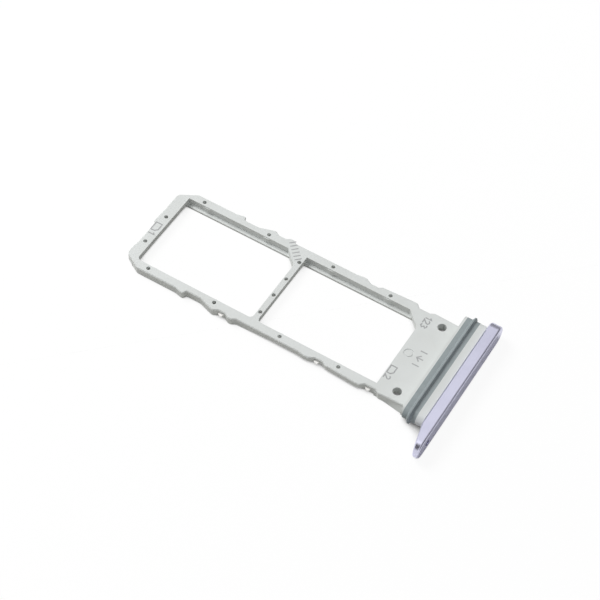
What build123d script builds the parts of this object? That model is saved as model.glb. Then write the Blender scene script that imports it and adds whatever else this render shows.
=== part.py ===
from build123d import *
import os

# In-line tray for two nano cards: a moulded frame on a stamped steel sheet, with a sealed neck and a
# metal end cap. Millimetres. It is drawn with X = 0 at the far wall of the first card pocket, Y = 0 on
# the frame's centreline and Z = 0 on the frame's top face, +X towards the cap. When it is written it is
# moved to its own origin, the bottom centre of its box.

# Cards and the room round them
card_length = 12.30
card_width = 8.80
card_corner_cut = 1.50
card_end_clearance = 0.205
card_side_clearance = 0.075

# Frame in plan
end_bar_width = 1.20
mid_bar_width = 0.58
plate_length = 3.40
rail_width = 0.885
rail_wall = 0.40
ledge_width = 0.385
lower_end_margin = 0.30
plate_edge_margin = 0.15
flange_root_step = 0.08
root_flare = 0.45
root_flare_length = 2.90
root_flare_top = 0.10
pocket_corner_radius = 0.40
frame_corner_length = 1.75
frame_corner_width = 1.05
frame_corner_radius = 0.60
edge_blend_radius = 0.12
top_edge_chamfer = 0.08

# Frame in height
frame_height = 0.92
rail_height = 0.80
rail_relief_height = 0.55
bar_height = 0.60
ledge_depth = 0.70

# Detents of the rails' outer edges: heights, then (place along the rail, step out from the plain edge)
bump_height = 0.16
tall_bump_height = 0.26
low_bump_height = 0.10
notch_depth = 0.23
first_card_detents = (
    (4.92, 0.0),
    (5.55, bump_height),
    (5.82, bump_height),
    (6.00, -notch_depth),
    (7.52, -notch_depth),
    (9.00, tall_bump_height),
    (9.20, tall_bump_height),
    (9.66, 0.0),
    (10.42, 0.0),
    (10.82, tall_bump_height),
    (11.16, tall_bump_height),
    (11.60, 0.0),
)
second_card_detents = (
    (4.93, 0.0),
    (5.63, low_bump_height),
    (6.03, low_bump_height),
    (6.63, -notch_depth),
    (7.43, -notch_depth),
    (7.83, 0.0),
)
plate_detents = (
    (-1.78, bump_height),
    (-1.28, bump_height),
    (-0.84, -notch_depth),
    (0.28, -notch_depth),
    (0.66, 0.0),
)

# Outer edge of the end bar: a wedge, then a shallow recess (place across the frame, step out)
end_wedge = 0.10
end_recess = 0.12
end_bar_steps = (
    (-3.40, 0.0),
    (-2.60, -end_recess),
    (0.18, -end_recess),
    (0.34, end_wedge),
    (2.05, 0.0),
)

# Relief under the outer part of the rails: its start before the second pocket, its slope and its end
relief_start_margin = 1.40
relief_slope_length = 3.20
relief_stop_margin = 0.96

# Grip bumps on the pocket walls
grip_height = 0.09
grip_length = 0.90
grip_top_gap = 0.10
first_card_grips = (2.10, 8.80)
second_card_grips = (2.63, 8.83)

# Stamped steel sheet inside the moulding
sheet_thickness = 0.15
sheet_depth = 0.28
sheet_pocket_wall = 0.10
sheet_edge_wall = 0.275
sheet_corner_wall = 0.15
sheet_flange_gap = 0.40
sheet_cover = 0.10
tab_width = 0.56
tab_reach = 0.30
first_card_tab = 9.97
second_card_tab = 6.83
plate_tab = -0.48

# Pin holes down to the sheet, from above and from below
pin_hole_diameter = 0.40
pilot_hole_diameter = 0.24
rail_pin_line = 0.385
end_pin_line = 0.56
first_card_pins = (1.52, 8.84)
second_card_pins = (2.67, 8.90)
mid_bar_pins = (-3.44, -1.08, 1.17, 3.56)
end_bar_pins = (-2.28, 1.28)

# Round holes and the ejector mark in the plate
plate_hole_diameter = 0.88
plate_hole_place = 2.00
plate_hole_edge = 1.095
plate_hole_wall = 0.20
ejector_mark_diameter = 1.00
ejector_mark_width = 0.16
ejector_mark_depth = 0.05
ejector_mark_place = 0.82

# Flange, seal groove, neck and tenon
neck_half_width = 6.40
neck_radius = 0.72
neck_axis_height = 0.10
flange_thickness = 0.24
flange_near_inset = 0.15
groove_length = 1.32
groove_depth = 0.25
neck_length = 0.80
neck_edge_chamfer = 0.08
tenon_length = 0.50
tenon_inset = 0.20
bond_gap = 0.03

# Seal lip
lip_height = 0.28
lip_width = 0.46
lip_tip_width = 0.12
lip_place = 0.70

# End cap
cap_radius = 1.02
cap_far_overhang = 0.66
cap_near_overhang = 3.05
cap_thickness = 1.185
cap_front_radius = 0.22
cap_back_chamfer = 0.10
cap_corner_length = 2.87
cap_corner_setback = 0.02
cap_overhang_taper = 0.62
cap_taper_margin = 0.20
eject_hole_diameter = 0.70
eject_hole_inset = 1.78

# Places that follow from the sizes above
pocket_length = card_length + 2 * card_end_clearance
pocket_half = card_width / 2 + card_side_clearance
rail_half = pocket_half + rail_width
second_pocket = pocket_length + mid_bar_width
plate_start = second_pocket + pocket_length
flange_start = plate_start + plate_length
groove_start = flange_start + flange_thickness
neck_start = groove_start + groove_length
cap_back = neck_start + neck_length
cap_front = cap_back + cap_thickness
cap_far_end = neck_half_width + cap_far_overhang
cap_near_end = neck_half_width + cap_near_overhang
window_half = pocket_half - ledge_width
wall_half = pocket_half + rail_wall
plate_half = rail_half - plate_edge_margin
pin_row = pocket_half + rail_pin_line
sheet_bottom = sheet_depth + sheet_thickness
past = 1.0


def prism(face, bottom, top):
    """Prism of a plan face between two heights."""
    return Pos(0, 0, bottom) * extrude(face, top - bottom)


def area(x_start, x_end, y_start, y_end):
    """Plan rectangle between two places along and two across."""
    size_x = x_end - x_start
    size_y = y_end - y_start
    return Pos(x_start + size_x / 2, y_start + size_y / 2) * Rectangle(size_x, size_y)


def slot_prism(half_width, radius, start, length, middle=0.0):
    """Round-ended bar along X, centred on the neck's axis height."""
    section = Plane(origin=(start, middle, neck_axis_height), x_dir=(0, 1, 0), z_dir=(1, 0, 0))
    return extrude(section * SlotOverall(2 * half_width, 2 * radius), length)


def rail_edge():
    """Outer edge of the far rail with its detents, from the frame's corner to the plate."""
    steps = [(x, step) for x, step in first_card_detents]
    steps += [(second_pocket + x, step) for x, step in second_card_detents]
    steps += [(plate_start + x, step) for x, step in plate_detents]
    return [(x, rail_half + step) for x, step in steps]


def corner_points():
    """Two ends of the bevel at the frame's far corner."""
    on_end = (-end_bar_width, rail_half - frame_corner_width)
    on_rail = (-end_bar_width + frame_corner_length, rail_half)
    return [on_end, on_rail]


def frame_outline():
    """Plan of the frame with its detents, wedge and recess."""
    corner = corner_points()
    rail = rail_edge()
    root = (flange_start + flange_thickness / 2, rail_half - flange_root_step)
    far_side = corner + rail + [root]
    near_side = [(x, -y) for x, y in reversed(far_side)]
    end_side = [(-end_bar_width - step, y) for y, step in end_bar_steps]
    far_radii = [frame_corner_radius] * len(corner) + [edge_blend_radius] * len(rail) + [0]
    near_radii = list(reversed(far_radii))
    end_radii = [edge_blend_radius] * len(end_side)
    points = far_side + near_side + end_side
    return make_face(FilletPolyline(*points, radius=far_radii + near_radii + end_radii, close=True))


def pocket_plan(start, near_cap_radius):
    """Plan of a card pocket: one corner cut off, rounded corners on the near side."""
    end = start + pocket_length
    points = [
        (start, pocket_half),
        (end - card_corner_cut, pocket_half),
        (end, pocket_half - card_corner_cut),
        (end, -pocket_half),
        (start, -pocket_half),
    ]
    radii = [0, 0, 0, near_cap_radius, pocket_corner_radius]
    return make_face(FilletPolyline(*points, radius=radii, close=True))


def pockets():
    """Plans of both card pockets."""
    return [pocket_plan(0.0, pocket_corner_radius), pocket_plan(second_pocket, 0)]


def grip(x, side):
    """Low rounded bump on a pocket wall that holds the card's edge."""
    wall = side * pocket_half
    foot = side * (pocket_half + rail_wall / 2)
    start = x - grip_length / 2
    end = x + grip_length / 2
    arc = ThreePointArc((start, wall), (x, wall - side * grip_height), (end, wall))
    back = Polyline((end, wall), (end, foot), (start, foot), (start, wall))
    return prism(make_face([arc, back]), -ledge_depth, -grip_top_gap)


def pin_places():
    """Centres of the pin holes, with True where a pilot pin passes through the sheet."""
    places = []
    for side in (-1, 1):
        first, last = first_card_pins
        places.append((first, side * pin_row, True))
        places.append((last, side * pin_row, side < 0))
        places += [(second_pocket + x, side * pin_row, False) for x in second_card_pins]
    places += [(pocket_length + mid_bar_width / 2, y, True) for y in mid_bar_pins]
    places += [(-end_pin_line, y, y > 0) for y in end_bar_pins]
    return places


def plate_holes(diameter, bottom, top):
    """Two round bars where the plate's holes are."""
    x = plate_start + plate_hole_place
    y = rail_half - plate_hole_edge
    hole = Circle(diameter / 2)
    return [prism(Pos(x, side * y) * hole, bottom, top) for side in (-1, 1)]


def make_sheet():
    """Stamped sheet: rails, rungs and plate in one piece, with trimmed tabs on the near side."""
    far_side = corner_points() + [(flange_start, rail_half)]
    plain = make_face(Polyline(*far_side, *[(x, -y) for x, y in reversed(far_side)], close=True))
    trim = area(
        -end_bar_width + sheet_edge_wall,
        flange_start - sheet_flange_gap,
        -rail_half + sheet_edge_wall,
        rail_half - sheet_edge_wall,
    )
    plan = offset(plain, -sheet_corner_wall, kind=Kind.INTERSECTION) & trim
    for pocket in pockets():
        plan -= offset(pocket, sheet_pocket_wall, kind=Kind.INTERSECTION)
    notch_wall = rail_half - notch_depth
    tabs = (
        (first_card_tab, rail_half),
        (second_pocket + second_card_tab, notch_wall),
        (plate_start + plate_tab, notch_wall),
    )
    for x, wall in tabs:
        tab_length = wall + tab_reach - pin_row + tab_width / 2
        middle = tab_length / 2 - wall - tab_reach
        plan += Pos(x, middle) * SlotOverall(tab_length, tab_width, rotation=90)
    for x, y, pilot in pin_places():
        if pilot:
            plan -= Pos(x, y) * Circle(pilot_hole_diameter / 2)
    sheet = prism(plan, -sheet_bottom, -sheet_depth)
    for hole in plate_holes(plate_hole_diameter + 2 * plate_hole_wall, -sheet_bottom - past, past):
        sheet -= hole
    return sheet


def rail_relief(side):
    """Sloped clearance under the outer part of a rail."""
    start = second_pocket - relief_start_margin
    stop = plate_start - relief_stop_margin
    profile = Polyline(
        (start, -rail_height),
        (start + relief_slope_length, -rail_relief_height),
        (stop, -rail_relief_height),
        (stop, -rail_height - past),
        (start, -rail_height - past),
        close=True,
    )
    width = rail_width - rail_wall + past
    middle = side * (wall_half + width / 2)
    upright = Plane(origin=(0, middle, 0), x_dir=(1, 0, 0), z_dir=(0, -1, 0))
    return extrude(upright * make_face(profile), width / 2, both=True)


def flare_section(x, flare, side):
    """Upright section of the plate's sloped side wall."""
    upright = Plane(origin=(x, 0, 0), x_dir=(0, 1, 0), z_dir=(1, 0, 0))
    points = [
        (side * (plate_half - plate_edge_margin), -root_flare_top),
        (side * plate_half, -root_flare_top),
        (side * (plate_half + flare), -frame_height),
        (side * (plate_half - plate_edge_margin), -frame_height),
    ]
    return upright * make_face(Polyline(*points, close=True))


def root_wall(side):
    """Side wall of the plate that slopes outwards on its way to the flange."""
    start = flare_section(flange_start - root_flare_length, 0.0, side)
    end = flare_section(flange_start + flange_thickness / 2, root_flare, side)
    return loft([start, end], ruled=True)


def make_frame(sheet):
    """Moulded frame: rails, bars, ledges, plate, flange, neck and tenon, round the sheet."""
    frame = prism(frame_outline(), -rail_height, 0)
    top_face = frame.faces().sort_by(Axis.Z)[-1]
    top_edges = [edge for edge in top_face.edges() if edge.center().X < flange_start]
    frame = chamfer(top_edges, top_edge_chamfer)
    ledge_base = area(-lower_end_margin, plate_start + plate_edge_margin, -wall_half, wall_half)
    frame += prism(ledge_base, -frame_height, -ledge_depth / 2)
    for side in (-1, 1):
        frame -= rail_relief(side)
    plate_root = area(plate_start + plate_edge_margin, flange_start, -plate_half, plate_half)
    frame += prism(plate_root, -frame_height, -ledge_depth / 2)
    for side in (-1, 1):
        frame += root_wall(side)

    window_strip = area(-past, plate_start + past, -window_half, window_half)
    for pocket in pockets():
        frame -= prism(pocket, -ledge_depth, past)
        frame -= prism(pocket & window_strip, -frame_height - past, past)
    corner_web = area(plate_start - card_corner_cut, plate_start, 0, window_half)
    frame -= prism(corner_web, -frame_height - past, -sheet_bottom - sheet_cover)
    bars = (
        area(-end_bar_width - past, 0, -window_half, window_half),
        area(pocket_length, second_pocket, -window_half, window_half),
    )
    for bar in bars:
        frame -= prism(bar, -frame_height - past, -bar_height)
    for side in (-1, 1):
        for x in first_card_grips:
            frame += grip(x, side)
        for x in second_card_grips:
            frame += grip(second_pocket + x, side)

    core_half = neck_half_width - groove_depth
    flange_half = neck_half_width - flange_near_inset / 2
    frame += slot_prism(flange_half, neck_radius, flange_start, flange_thickness, flange_near_inset / 2)
    frame += slot_prism(core_half, neck_radius - groove_depth, groove_start, groove_length)
    neck = slot_prism(neck_half_width, neck_radius, neck_start, neck_length)
    frame += chamfer(neck.faces().sort_by(Axis.X)[-1].edges(), neck_edge_chamfer)
    frame += slot_prism(neck_half_width - tenon_inset, neck_radius - tenon_inset, cap_back, tenon_length)

    for hole in plate_holes(plate_hole_diameter, -frame_height - past, past):
        frame -= hole
    pin_hole = Circle(pin_hole_diameter / 2)
    pilot_hole = Circle(pilot_hole_diameter / 2)
    for x, y, pilot in pin_places():
        frame -= prism(Pos(x, y) * pin_hole, -sheet_depth, past)
        frame -= prism(Pos(x, y) * pin_hole, -frame_height - past, -sheet_bottom)
        if pilot:
            frame -= prism(Pos(x, y) * pilot_hole, -sheet_bottom, -sheet_depth)
    mark_radius = ejector_mark_diameter / 2
    mark = Circle(mark_radius) - Circle(mark_radius - ejector_mark_width)
    frame -= prism(Pos(plate_start + ejector_mark_place, 0) * mark, -ejector_mark_depth, past)
    return frame - sheet


def make_seal():
    """Gasket that fills the neck's groove, with one raised lip all round."""
    straight = neck_half_width - neck_radius
    core = neck_radius - groove_depth
    top = neck_axis_height + core
    bottom = neck_axis_height - core
    path = Wire(
        [
            Line((groove_start, 0, top), (groove_start, -straight, top)),
            ThreePointArc(
                (groove_start, -straight, top),
                (groove_start, -straight - core, neck_axis_height),
                (groove_start, -straight, bottom),
            ),
            Line((groove_start, -straight, bottom), (groove_start, straight, bottom)),
            ThreePointArc(
                (groove_start, straight, bottom),
                (groove_start, straight + core, neck_axis_height),
                (groove_start, straight, top),
            ),
            Line((groove_start, straight, top), (groove_start, 0, top)),
        ]
    )
    lip_top = groove_depth + lip_height
    section_points = [
        (0, 0),
        (groove_length, 0),
        (groove_length, groove_depth),
        (lip_place + lip_width / 2, groove_depth),
        (lip_place + lip_tip_width / 2, lip_top),
        (lip_place - lip_tip_width / 2, lip_top),
        (lip_place - lip_width / 2, groove_depth),
        (0, groove_depth),
    ]
    start = Plane(origin=(groove_start, 0, top), x_dir=(1, 0, 0), z_dir=(0, -1, 0))
    return sweep(start * make_face(Polyline(*section_points, close=True)), path=path)


def faces_towards(shape, side):
    """Faces that look mostly along X, forward or back."""
    normals = [(face, face.normal_at()) for face in shape.faces()]
    return [face for face, normal in normals if side * normal.X > abs(normal.Y) + abs(normal.Z)]


def outer_edges(faces):
    """Edges that belong to one of the faces only."""
    edges = [edge for face in faces for edge in face.edges()]
    return [edge for edge in edges if sum(edge.is_same(other) for other in edges) == 1]


def make_cap():
    """End cap: round-ended bar whose face turns back at the far end, thinner on the near overhang."""
    half = (cap_far_end + cap_near_end) / 2
    middle = (cap_far_end - cap_near_end) / 2
    corner_start = cap_far_end - cap_corner_length
    front_run = Line((cap_front, -cap_near_end), (cap_front, corner_start))
    front_turn = TangentArc(
        (cap_front, corner_start), (cap_front - cap_corner_setback, cap_far_end), tangent=(0, 1)
    )
    back_run = Polyline(
        (cap_front - cap_corner_setback, cap_far_end),
        (cap_back, cap_far_end),
        (cap_back, -neck_half_width - cap_taper_margin),
        (cap_back + cap_overhang_taper, -cap_near_end),
        (cap_front, -cap_near_end),
    )
    plan = make_face([front_run, front_turn, back_run])
    reach = cap_radius + past
    cap = prism(plan, neck_axis_height - reach, neck_axis_height + reach)
    cap &= slot_prism(half, cap_radius, cap_back - past, cap_thickness + 2 * past, middle)
    cap = fillet(outer_edges(faces_towards(cap, 1)), cap_front_radius)
    cap = chamfer(outer_edges(faces_towards(cap, -1)), cap_back_chamfer)
    inset = tenon_inset - bond_gap
    depth = tenon_length + bond_gap
    cap -= slot_prism(neck_half_width - inset, neck_radius - inset, cap_back - past, past + depth)
    hole_centre = (cap_back - past, -cap_near_end + eject_hole_inset, neck_axis_height)
    hole_plane = Plane(origin=hole_centre, x_dir=(0, 1, 0), z_dir=(1, 0, 0))
    cap -= extrude(hole_plane * Circle(eject_hole_diameter / 2), cap_thickness + 2 * past)
    return cap


steel_insert = make_sheet()
nodes = {
    "tray_frame": make_frame(steel_insert),
    "steel_insert": steel_insert,
    "seal_ring": make_seal(),
    "end_cap": make_cap(),
}

far_end = -end_bar_width - end_wedge
origin = Pos(
    -(far_end + cap_front) / 2,
    -(cap_far_end - cap_near_end) / 2,
    max(frame_height, cap_radius - neck_axis_height),
)
os.makedirs("parts", exist_ok=True)
for name, shape in nodes.items():
    export_step(origin * shape, f"parts/{name}.step")
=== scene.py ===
from math import cos, radians, sin, tan

import bmesh
import bpy
from mathutils import Matrix, Vector


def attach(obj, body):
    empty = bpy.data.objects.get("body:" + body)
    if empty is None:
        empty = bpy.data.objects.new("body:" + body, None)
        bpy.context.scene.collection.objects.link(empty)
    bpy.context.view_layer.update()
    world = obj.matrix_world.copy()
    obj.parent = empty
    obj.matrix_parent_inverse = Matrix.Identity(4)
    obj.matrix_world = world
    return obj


# Looks of a sim card tray: moulded frame, steel sheet, silicone seal and anodised end cap, on a white
# floor. Places are in millimetres in the tray's own frame and are turned into metres when they are used.
MM = 0.001

# Camera, at the photograph's viewing angle
CAMERA_AIM = (-0.468, 0.962, 0.92)
CAMERA_DISTANCE = 169.35
CAMERA_AZIMUTH = -62.83
CAMERA_ELEVATION = 52.54
CAMERA_ROLL = 4.92
CAMERA_LENS = 109.27
CAMERA_SENSOR = 36.0

# Light: a soft lamp beyond the far end, an even sky, a grey wall behind, and a grey screen and a dark
# flag in front
SKY_FILL = 0.66
KEY_AZIMUTH = 172.0
KEY_ELEVATION = 50.0
KEY_DISTANCE = 400.0
KEY_SIZE = 200.0
KEY_POWER = 1.23
WALL_RADIUS = 450.0
WALL_STEPS = 24
WALL_ELEVATION = 44.0
WALL_START = 75.0
WALL_END = 150.0
SCREEN_ELEVATION = 50.0
SCREEN_START = -35.0
SCREEN_END = 72.0
FLAG_AZIMUTH = -106.0
FLAG_ELEVATION = 50.0
FLAG_DISTANCE = 420.0
FLAG_RADIUS = 240.0
FLAG_SIDES = 48
FLOOR_HALF = 3000.0

# Floor: the share of its true shade that shows, then how far off a cover counts, and the open shares of
# sky at which the floor's glow turns dark and white, a painted shade where the tray covers the floor
FLOOR_SHADOW = 0.08
FLOOR_COVER_REACH = 20.0
FLOOR_COVER_SAMPLES = 8
FLOOR_COVERED = 0.10
FLOOR_OPEN = 0.45

# Colours, linear
PLASTIC = (0.675, 0.698, 0.688)
PLASTIC_SHADE = (0.645, 0.665, 0.652)
STEEL = (0.80, 0.79, 0.77)
SILICONE = (0.285, 0.325, 0.335)
SILICONE_SHADE = (0.24, 0.275, 0.285)
CAP = (0.645, 0.645, 0.79)
CAP_SHADE = (0.60, 0.60, 0.74)
INK = (0.33, 0.335, 0.34)
INK_LIGHT = (0.43, 0.435, 0.44)
WHITE = (1.0, 1.0, 1.0)
FLOOR = (0.46, 0.45, 0.41)
WALL = (0.50, 0.50, 0.50)
SCREEN = (0.40, 0.40, 0.41)
FLAG = (0.03, 0.03, 0.03)

# Fineness of the steel sheet's streaks along the tray, across it and upright
STREAKS = (400.0, 12000.0, 12000.0)

# Marks printed on the top face: lines on a field one unit high, then (name, lines, place, turn, height)
TOP_FACE = 0.92
MARK_LIFT = 0.004
MARK_STROKE = 0.12
MARK_TURN = -90.0
SCALE_TURN = -45.0
TICK_COUNT = 6
TICK_PITCH = 0.6
ONE = [[(0.0, 0.75), (0.3, 1.0), (0.3, 0.0)]]
TWO = [[(0.0, 0.8), (0.15, 0.96), (0.4, 1.0), (0.63, 0.85), (0.6, 0.6), (0.0, 0.0), (0.7, 0.0)]]
THREE = [[(0.0, 0.9), (0.3, 1.0), (0.58, 0.8), (0.3, 0.54), (0.62, 0.28), (0.3, 0.0), (0.0, 0.1)]]
CARD = [[(0.5, 0.0), (0.0, 0.0), (0.0, 1.0), (1.1, 1.0), (1.5, 0.6), (1.5, 0.0), (0.5, 0.0)]]
ARROW = [
    [(0.3, 0.0), (0.3, 1.0)],
    [(1.5, 1.0), (1.5, 0.25)],
    [(1.0, 0.55), (1.5, 0.05), (2.0, 0.55)],
    [(2.7, 0.0), (2.7, 1.0)],
]
TICKS = [[(TICK_PITCH * i, 0.0), (TICK_PITCH * i, 1.0)] for i in range(TICK_COUNT)]
MARKS = (
    ("mark_first_card", CARD, (-16.80, 1.45), MARK_TURN, 0.66),
    ("mark_first_number", ONE, (-16.80, 0.20), MARK_TURN, 0.66),
    ("mark_second_card", CARD, (10.32, -0.82), MARK_TURN, 0.60),
    ("mark_second_number", TWO, (10.32, -1.97), MARK_TURN, 0.60),
    ("mark_one", ONE, (10.34, 5.80), MARK_TURN, 0.62),
    ("mark_two", TWO, (10.34, 5.42), MARK_TURN, 0.62),
    ("mark_three", THREE, (10.34, 4.86), MARK_TURN, 0.62),
    ("mark_direction", ARROW, (11.80, 2.25), MARK_TURN, 0.70),
    ("mark_scale", TICKS, (-4.85, 6.25), SCALE_TURN, 0.70),
)


def metres(point):
    """A place in millimetres as a vector in metres."""
    return Vector(point) * MM


def direction(azimuth, elevation):
    """Unit vector at an azimuth from +X, in degrees, and an elevation above the floor."""
    a = radians(azimuth)
    e = radians(elevation)
    return Vector((cos(a) * cos(e), sin(a) * cos(e), sin(e)))


def new_material(name):
    """New material, with its nodes, its links and its shader."""
    material = bpy.data.materials.new(name)
    material.use_nodes = True
    nodes = material.node_tree.nodes
    return material, nodes, material.node_tree.links, nodes["Principled BSDF"]


def noise(nodes, links, scale, detail):
    """Noise texture in object space."""
    place = nodes.new("ShaderNodeTexCoord")
    texture = nodes.new("ShaderNodeTexNoise")
    texture.inputs["Scale"].default_value = scale
    texture.inputs["Detail"].default_value = detail
    links.new(place.outputs["Object"], texture.inputs["Vector"])
    return texture


def blend_colours(nodes, links, factor, dark, light, low, high):
    """Colour ramp between two colours over part of a texture's range."""
    ramp = nodes.new("ShaderNodeValToRGB")
    ramp.color_ramp.elements[0].position = low
    ramp.color_ramp.elements[0].color = (*dark, 1.0)
    ramp.color_ramp.elements[1].position = high
    ramp.color_ramp.elements[1].color = (*light, 1.0)
    links.new(factor, ramp.inputs["Fac"])
    return ramp.outputs["Color"]


def spread(nodes, links, factor, low, high):
    """Texture value mapped to a range."""
    remap = nodes.new("ShaderNodeMapRange")
    remap.inputs["To Min"].default_value = low
    remap.inputs["To Max"].default_value = high
    links.new(factor, remap.inputs["Value"])
    return remap.outputs["Result"]


def grain(nodes, links, shader, height, strength, distance):
    """Bump from a height value."""
    bump = nodes.new("ShaderNodeBump")
    bump.inputs["Strength"].default_value = strength
    bump.inputs["Distance"].default_value = distance
    links.new(height, bump.inputs["Height"])
    links.new(bump.outputs["Normal"], shader.inputs["Normal"])


def plastic_material():
    """Light grey moulded plastic with a fine satin grain."""
    material, nodes, links, shader = new_material("moulded_plastic")
    cloud = noise(nodes, links, scale=350.0, detail=3.0)
    fine = noise(nodes, links, scale=9000.0, detail=2.0)
    mottle = cloud.outputs["Fac"]
    colour = blend_colours(nodes, links, mottle, PLASTIC_SHADE, PLASTIC, low=0.25, high=0.55)
    links.new(colour, shader.inputs["Base Color"])
    gloss = spread(nodes, links, fine.outputs["Fac"], low=0.38, high=0.56)
    links.new(gloss, shader.inputs["Roughness"])
    grain(nodes, links, shader, fine.outputs["Fac"], strength=0.12, distance=0.00002)
    return material


def steel_material():
    """Bright stamped sheet with drawn streaks."""
    material, nodes, links, shader = new_material("stamped_steel")
    place = nodes.new("ShaderNodeTexCoord")
    stretch = nodes.new("ShaderNodeMapping")
    stretch.inputs["Scale"].default_value = STREAKS
    links.new(place.outputs["Object"], stretch.inputs["Vector"])
    streaks = nodes.new("ShaderNodeTexNoise")
    streaks.inputs["Scale"].default_value = 1.0
    links.new(stretch.outputs["Vector"], streaks.inputs["Vector"])
    shader.inputs["Base Color"].default_value = (*STEEL, 1.0)
    shader.inputs["Metallic"].default_value = 1.0
    gloss = spread(nodes, links, streaks.outputs["Fac"], low=0.22, high=0.42)
    links.new(gloss, shader.inputs["Roughness"])
    grain(nodes, links, shader, streaks.outputs["Fac"], strength=0.10, distance=0.00001)
    return material


def silicone_material():
    """Matt grey silicone with soft mottling."""
    material, nodes, links, shader = new_material("grey_silicone")
    cloud = noise(nodes, links, scale=900.0, detail=4.0)
    fine = noise(nodes, links, scale=12000.0, detail=2.0)
    mottle = cloud.outputs["Fac"]
    colour = blend_colours(nodes, links, mottle, SILICONE_SHADE, SILICONE, low=0.2, high=0.55)
    links.new(colour, shader.inputs["Base Color"])
    gloss = spread(nodes, links, fine.outputs["Fac"], low=0.5, high=0.68)
    links.new(gloss, shader.inputs["Roughness"])
    grain(nodes, links, shader, fine.outputs["Fac"], strength=0.15, distance=0.00002)
    return material


def cap_material():
    """Pale lavender anodised metal with a blasted grain."""
    material, nodes, links, shader = new_material("anodised_cap")
    cloud = noise(nodes, links, scale=500.0, detail=3.0)
    fine = noise(nodes, links, scale=14000.0, detail=3.0)
    mottle = cloud.outputs["Fac"]
    colour = blend_colours(nodes, links, mottle, CAP_SHADE, CAP, low=0.25, high=0.55)
    links.new(colour, shader.inputs["Base Color"])
    shader.inputs["Metallic"].default_value = 1.0
    gloss = spread(nodes, links, fine.outputs["Fac"], low=0.27, high=0.37)
    links.new(gloss, shader.inputs["Roughness"])
    grain(nodes, links, shader, fine.outputs["Fac"], strength=0.08, distance=0.00001)
    return material


def floor_material():
    """Floor that shows white where open, with painted shade where covered, and keeps a light shadow."""
    material, nodes, links, shader = new_material("white_floor")
    shader.inputs["Base Color"].default_value = (*FLOOR, 1.0)
    shader.inputs["Roughness"].default_value = 1.0
    shader.inputs["Specular IOR Level"].default_value = 0.0
    # Painted shade: ambient occlusion dims the floor's white glow where the tray covers it, so the floor
    # under the plate and in its holes shows dark
    cover = nodes.new("ShaderNodeAmbientOcclusion")
    cover.samples = FLOOR_COVER_SAMPLES
    cover.inputs["Distance"].default_value = FLOOR_COVER_REACH * MM
    painted_shade_strength = nodes.new("ShaderNodeMapRange")
    painted_shade_strength.inputs["From Min"].default_value = FLOOR_COVERED
    painted_shade_strength.inputs["From Max"].default_value = FLOOR_OPEN
    links.new(cover.outputs["AO"], painted_shade_strength.inputs["Value"])
    glow = nodes.new("ShaderNodeEmission")
    glow.inputs["Color"].default_value = (*WHITE, 1.0)
    links.new(painted_shade_strength.outputs["Result"], glow.inputs["Strength"])
    lit = nodes.new("ShaderNodeBsdfDiffuse")
    lit.inputs["Color"].default_value = (*WHITE, 1.0)
    shown = nodes.new("ShaderNodeMixShader")
    shown.inputs["Fac"].default_value = FLOOR_SHADOW
    links.new(glow.outputs["Emission"], shown.inputs[1])
    links.new(lit.outputs["BSDF"], shown.inputs[2])
    rays = nodes.new("ShaderNodeLightPath")
    reflected = nodes.new("ShaderNodeMath")
    reflected.operation = "MAXIMUM"
    links.new(rays.outputs["Is Glossy Ray"], reflected.inputs[0])
    links.new(rays.outputs["Is Transmission Ray"], reflected.inputs[1])
    bounce = nodes.new("ShaderNodeMixShader")
    links.new(reflected.outputs[0], bounce.inputs["Fac"])
    links.new(shader.outputs["BSDF"], bounce.inputs[1])
    links.new(lit.outputs["BSDF"], bounce.inputs[2])
    surface = nodes.new("ShaderNodeMixShader")
    links.new(rays.outputs["Is Camera Ray"], surface.inputs["Fac"])
    links.new(bounce.outputs["Shader"], surface.inputs[1])
    links.new(shown.outputs["Shader"], surface.inputs[2])
    links.new(surface.outputs["Shader"], nodes["Material Output"].inputs["Surface"])
    return material


def cloth_material(name, colour):
    """Plain matt cloth for the studio's wall, screen and flag."""
    material, *_, shader = new_material(name)
    shader.inputs["Base Color"].default_value = (*colour, 1.0)
    shader.inputs["Roughness"].default_value = 1.0
    return material


def ink_material():
    """Grey print, a little uneven."""
    material, nodes, links, shader = new_material("grey_print")
    cloud = noise(nodes, links, scale=6000.0, detail=3.0)
    colour = blend_colours(nodes, links, cloud.outputs["Fac"], INK, INK_LIGHT, low=0.35, high=0.7)
    links.new(colour, shader.inputs["Base Color"])
    shader.inputs["Roughness"].default_value = 0.6
    return material


def mesh_piece(name, build, material):
    """New mesh object from a function that fills a bmesh."""
    mesh = bpy.data.meshes.new(name)
    shape = bmesh.new()
    build(shape)
    shape.to_mesh(mesh)
    shape.free()
    mesh.materials.append(material)
    piece = bpy.data.objects.new(name, mesh)
    bpy.context.scene.collection.objects.link(piece)
    return piece


def build_floor(shape):
    """Square floor."""
    half = FLOOR_HALF * MM
    corners = ((-half, -half), (half, -half), (half, half), (-half, half))
    shape.faces.new([shape.verts.new((x, y, 0.0)) for x, y in corners])


def curved_wall(start, end, elevation):
    """Builder of an upright wall round the tray between two azimuths, up to an elevation."""
    radius = WALL_RADIUS * MM
    top = Vector((0.0, 0.0, radius * tan(radians(elevation))))

    def build(shape):
        rows = []
        for i in range(WALL_STEPS + 1):
            foot = direction(start + (end - start) * i / WALL_STEPS, 0.0) * radius
            rows.append((shape.verts.new(foot), shape.verts.new(foot + top)))
        for (a, b), (c, d) in zip(rows, rows[1:]):
            shape.faces.new((a, c, d, b))

    return build


def build_flag(shape):
    """Round flag beside the camera, facing the tray."""
    toward = direction(FLAG_AZIMUTH, FLAG_ELEVATION)
    turn = toward.to_track_quat("Z", "Y").to_matrix().to_4x4()
    place = Matrix.Translation(toward * FLAG_DISTANCE * MM) @ turn
    bmesh.ops.create_circle(shape, cap_ends=True, segments=FLAG_SIDES, radius=FLAG_RADIUS * MM, matrix=place)


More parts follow.
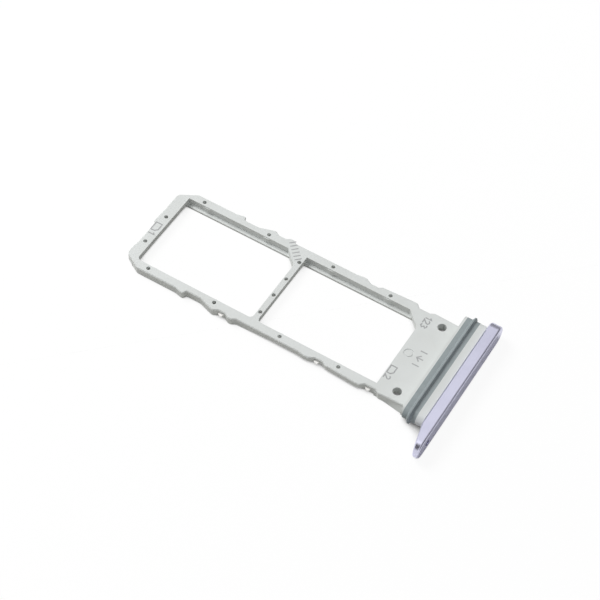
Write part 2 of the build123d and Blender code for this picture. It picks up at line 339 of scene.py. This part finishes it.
def make_stage():
    """Floor, wall, screen and flag of the studio."""
    floor = mesh_piece("floor", build_floor, floor_material())
    behind = curved_wall(WALL_START, WALL_END, WALL_ELEVATION)
    wall = mesh_piece("studio_wall", behind, cloth_material("grey_wall", WALL))
    before = curved_wall(SCREEN_START, SCREEN_END, SCREEN_ELEVATION)
    screen = mesh_piece("studio_screen", before, cloth_material("grey_screen", SCREEN))
    flag = mesh_piece("studio_flag", build_flag, cloth_material("dark_flag", FLAG))
    for piece in (wall, screen, flag):
        piece.visible_camera = False


def ribbon(shape, points, width, place):
    """Flat line of an even width, mitred at its corners."""
    closed = points[0] == points[-1]
    spots = [Vector(point) for point in points]
    heads = [(b - a).normalized() for a, b in zip(spots, spots[1:])]
    before = [heads[-1] if closed else heads[0]] + heads
    after = heads + [heads[0] if closed else heads[-1]]
    rows = []
    for spot, arrive, leave in zip(spots, before, after):
        across = Vector((-arrive.y - leave.y, arrive.x + leave.x))
        across *= width / across.length_squared
        rows.append([shape.verts.new(place @ edge.to_3d()) for edge in (spot - across, spot + across)])
    for (a, b), (c, d) in zip(rows, rows[1:]):
        shape.faces.new((a, c, d, b))


def line_art(lines, width, place):
    """Builder of a mark from its lines."""

    def build(shape):
        for points in lines:
            ribbon(shape, points, width, place)

    return build


def print_marks():
    """Printed numbers, card signs, arrow and scale on the tray's top face."""
    ink = ink_material()
    for name, lines, (x, y), turn, height in MARKS:
        place = Matrix.Translation(metres((x, y, TOP_FACE + MARK_LIFT)))
        place @= Matrix.Rotation(radians(turn), 4, "Z") @ Matrix.Scale(height * MM, 4)
        piece = mesh_piece(name, line_art(lines, MARK_STROKE / height, place), ink)
        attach(piece, "root")


def make_world():
    """Plain white surroundings, dimmer as a light than as a background."""
    world = bpy.data.worlds.new("studio")
    bpy.context.scene.world = world
    world.use_nodes = True
    nodes = world.node_tree.nodes
    links = world.node_tree.links
    background = nodes["Background"]
    background.inputs["Color"].default_value = (*WHITE, 1.0)
    rays = nodes.new("ShaderNodeLightPath")
    seen = nodes.new("ShaderNodeMath")
    seen.operation = "MAXIMUM"
    links.new(rays.outputs["Is Camera Ray"], seen.inputs[0])
    links.new(rays.outputs["Is Glossy Ray"], seen.inputs[1])
    through = nodes.new("ShaderNodeMath")
    through.operation = "MAXIMUM"
    links.new(seen.outputs[0], through.inputs[0])
    links.new(rays.outputs["Is Transmission Ray"], through.inputs[1])
    strength = nodes.new("ShaderNodeMapRange")
    strength.inputs["To Min"].default_value = SKY_FILL
    strength.inputs["To Max"].default_value = 1.0
    links.new(through.outputs[0], strength.inputs["Value"])
    links.new(strength.outputs["Result"], background.inputs["Strength"])


def make_key_light():
    """Large soft light from the far end of the tray."""
    light = bpy.data.lights.new("key", "AREA")
    light.shape = "DISK"
    light.size = KEY_SIZE * MM
    light.energy = KEY_POWER
    lamp = bpy.data.objects.new("key", light)
    toward = direction(KEY_AZIMUTH, KEY_ELEVATION)
    lamp.location = toward * KEY_DISTANCE * MM
    lamp.rotation_euler = toward.to_track_quat("Z", "Y").to_euler()
    bpy.context.scene.collection.objects.link(lamp)


def make_camera():
    """Camera that looks down along the tray from the cap's near side."""
    back = direction(CAMERA_AZIMUTH, CAMERA_ELEVATION)
    level = direction(CAMERA_AZIMUTH + 90.0, 0.0)
    up = back.cross(level)
    roll = radians(CAMERA_ROLL)
    right = level * cos(roll) + up * sin(roll)
    above = up * cos(roll) - level * sin(roll)
    data = bpy.data.cameras.new("camera")
    data.lens = CAMERA_LENS
    data.sensor_width = CAMERA_SENSOR
    data.clip_start = MM
    camera = bpy.data.objects.new("camera", data)
    turn = Matrix((right, above, back)).transposed().to_4x4()
    place = metres(CAMERA_AIM) + back * CAMERA_DISTANCE * MM
    camera.matrix_world = Matrix.Translation(place) @ turn
    bpy.context.scene.collection.objects.link(camera)
    bpy.context.scene.camera = camera


def dress(node, material):
    """Gives a solid of the frame its finish."""
    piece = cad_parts[node]
    piece.data.materials.clear()
    piece.data.materials.append(material)


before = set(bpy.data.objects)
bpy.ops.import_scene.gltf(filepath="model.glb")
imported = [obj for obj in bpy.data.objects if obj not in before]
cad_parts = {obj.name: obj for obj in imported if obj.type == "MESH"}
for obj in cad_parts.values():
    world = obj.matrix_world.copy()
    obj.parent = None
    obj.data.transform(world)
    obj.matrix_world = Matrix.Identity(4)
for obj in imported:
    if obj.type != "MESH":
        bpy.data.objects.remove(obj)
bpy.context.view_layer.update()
bpy.context.scene.view_settings.view_transform = "Standard"

dress("tray_frame", plastic_material())
dress("steel_insert", steel_material())
dress("seal_ring", silicone_material())
dress("end_cap", cap_material())
print_marks()

make_stage()
make_world()
make_key_light()
make_camera()
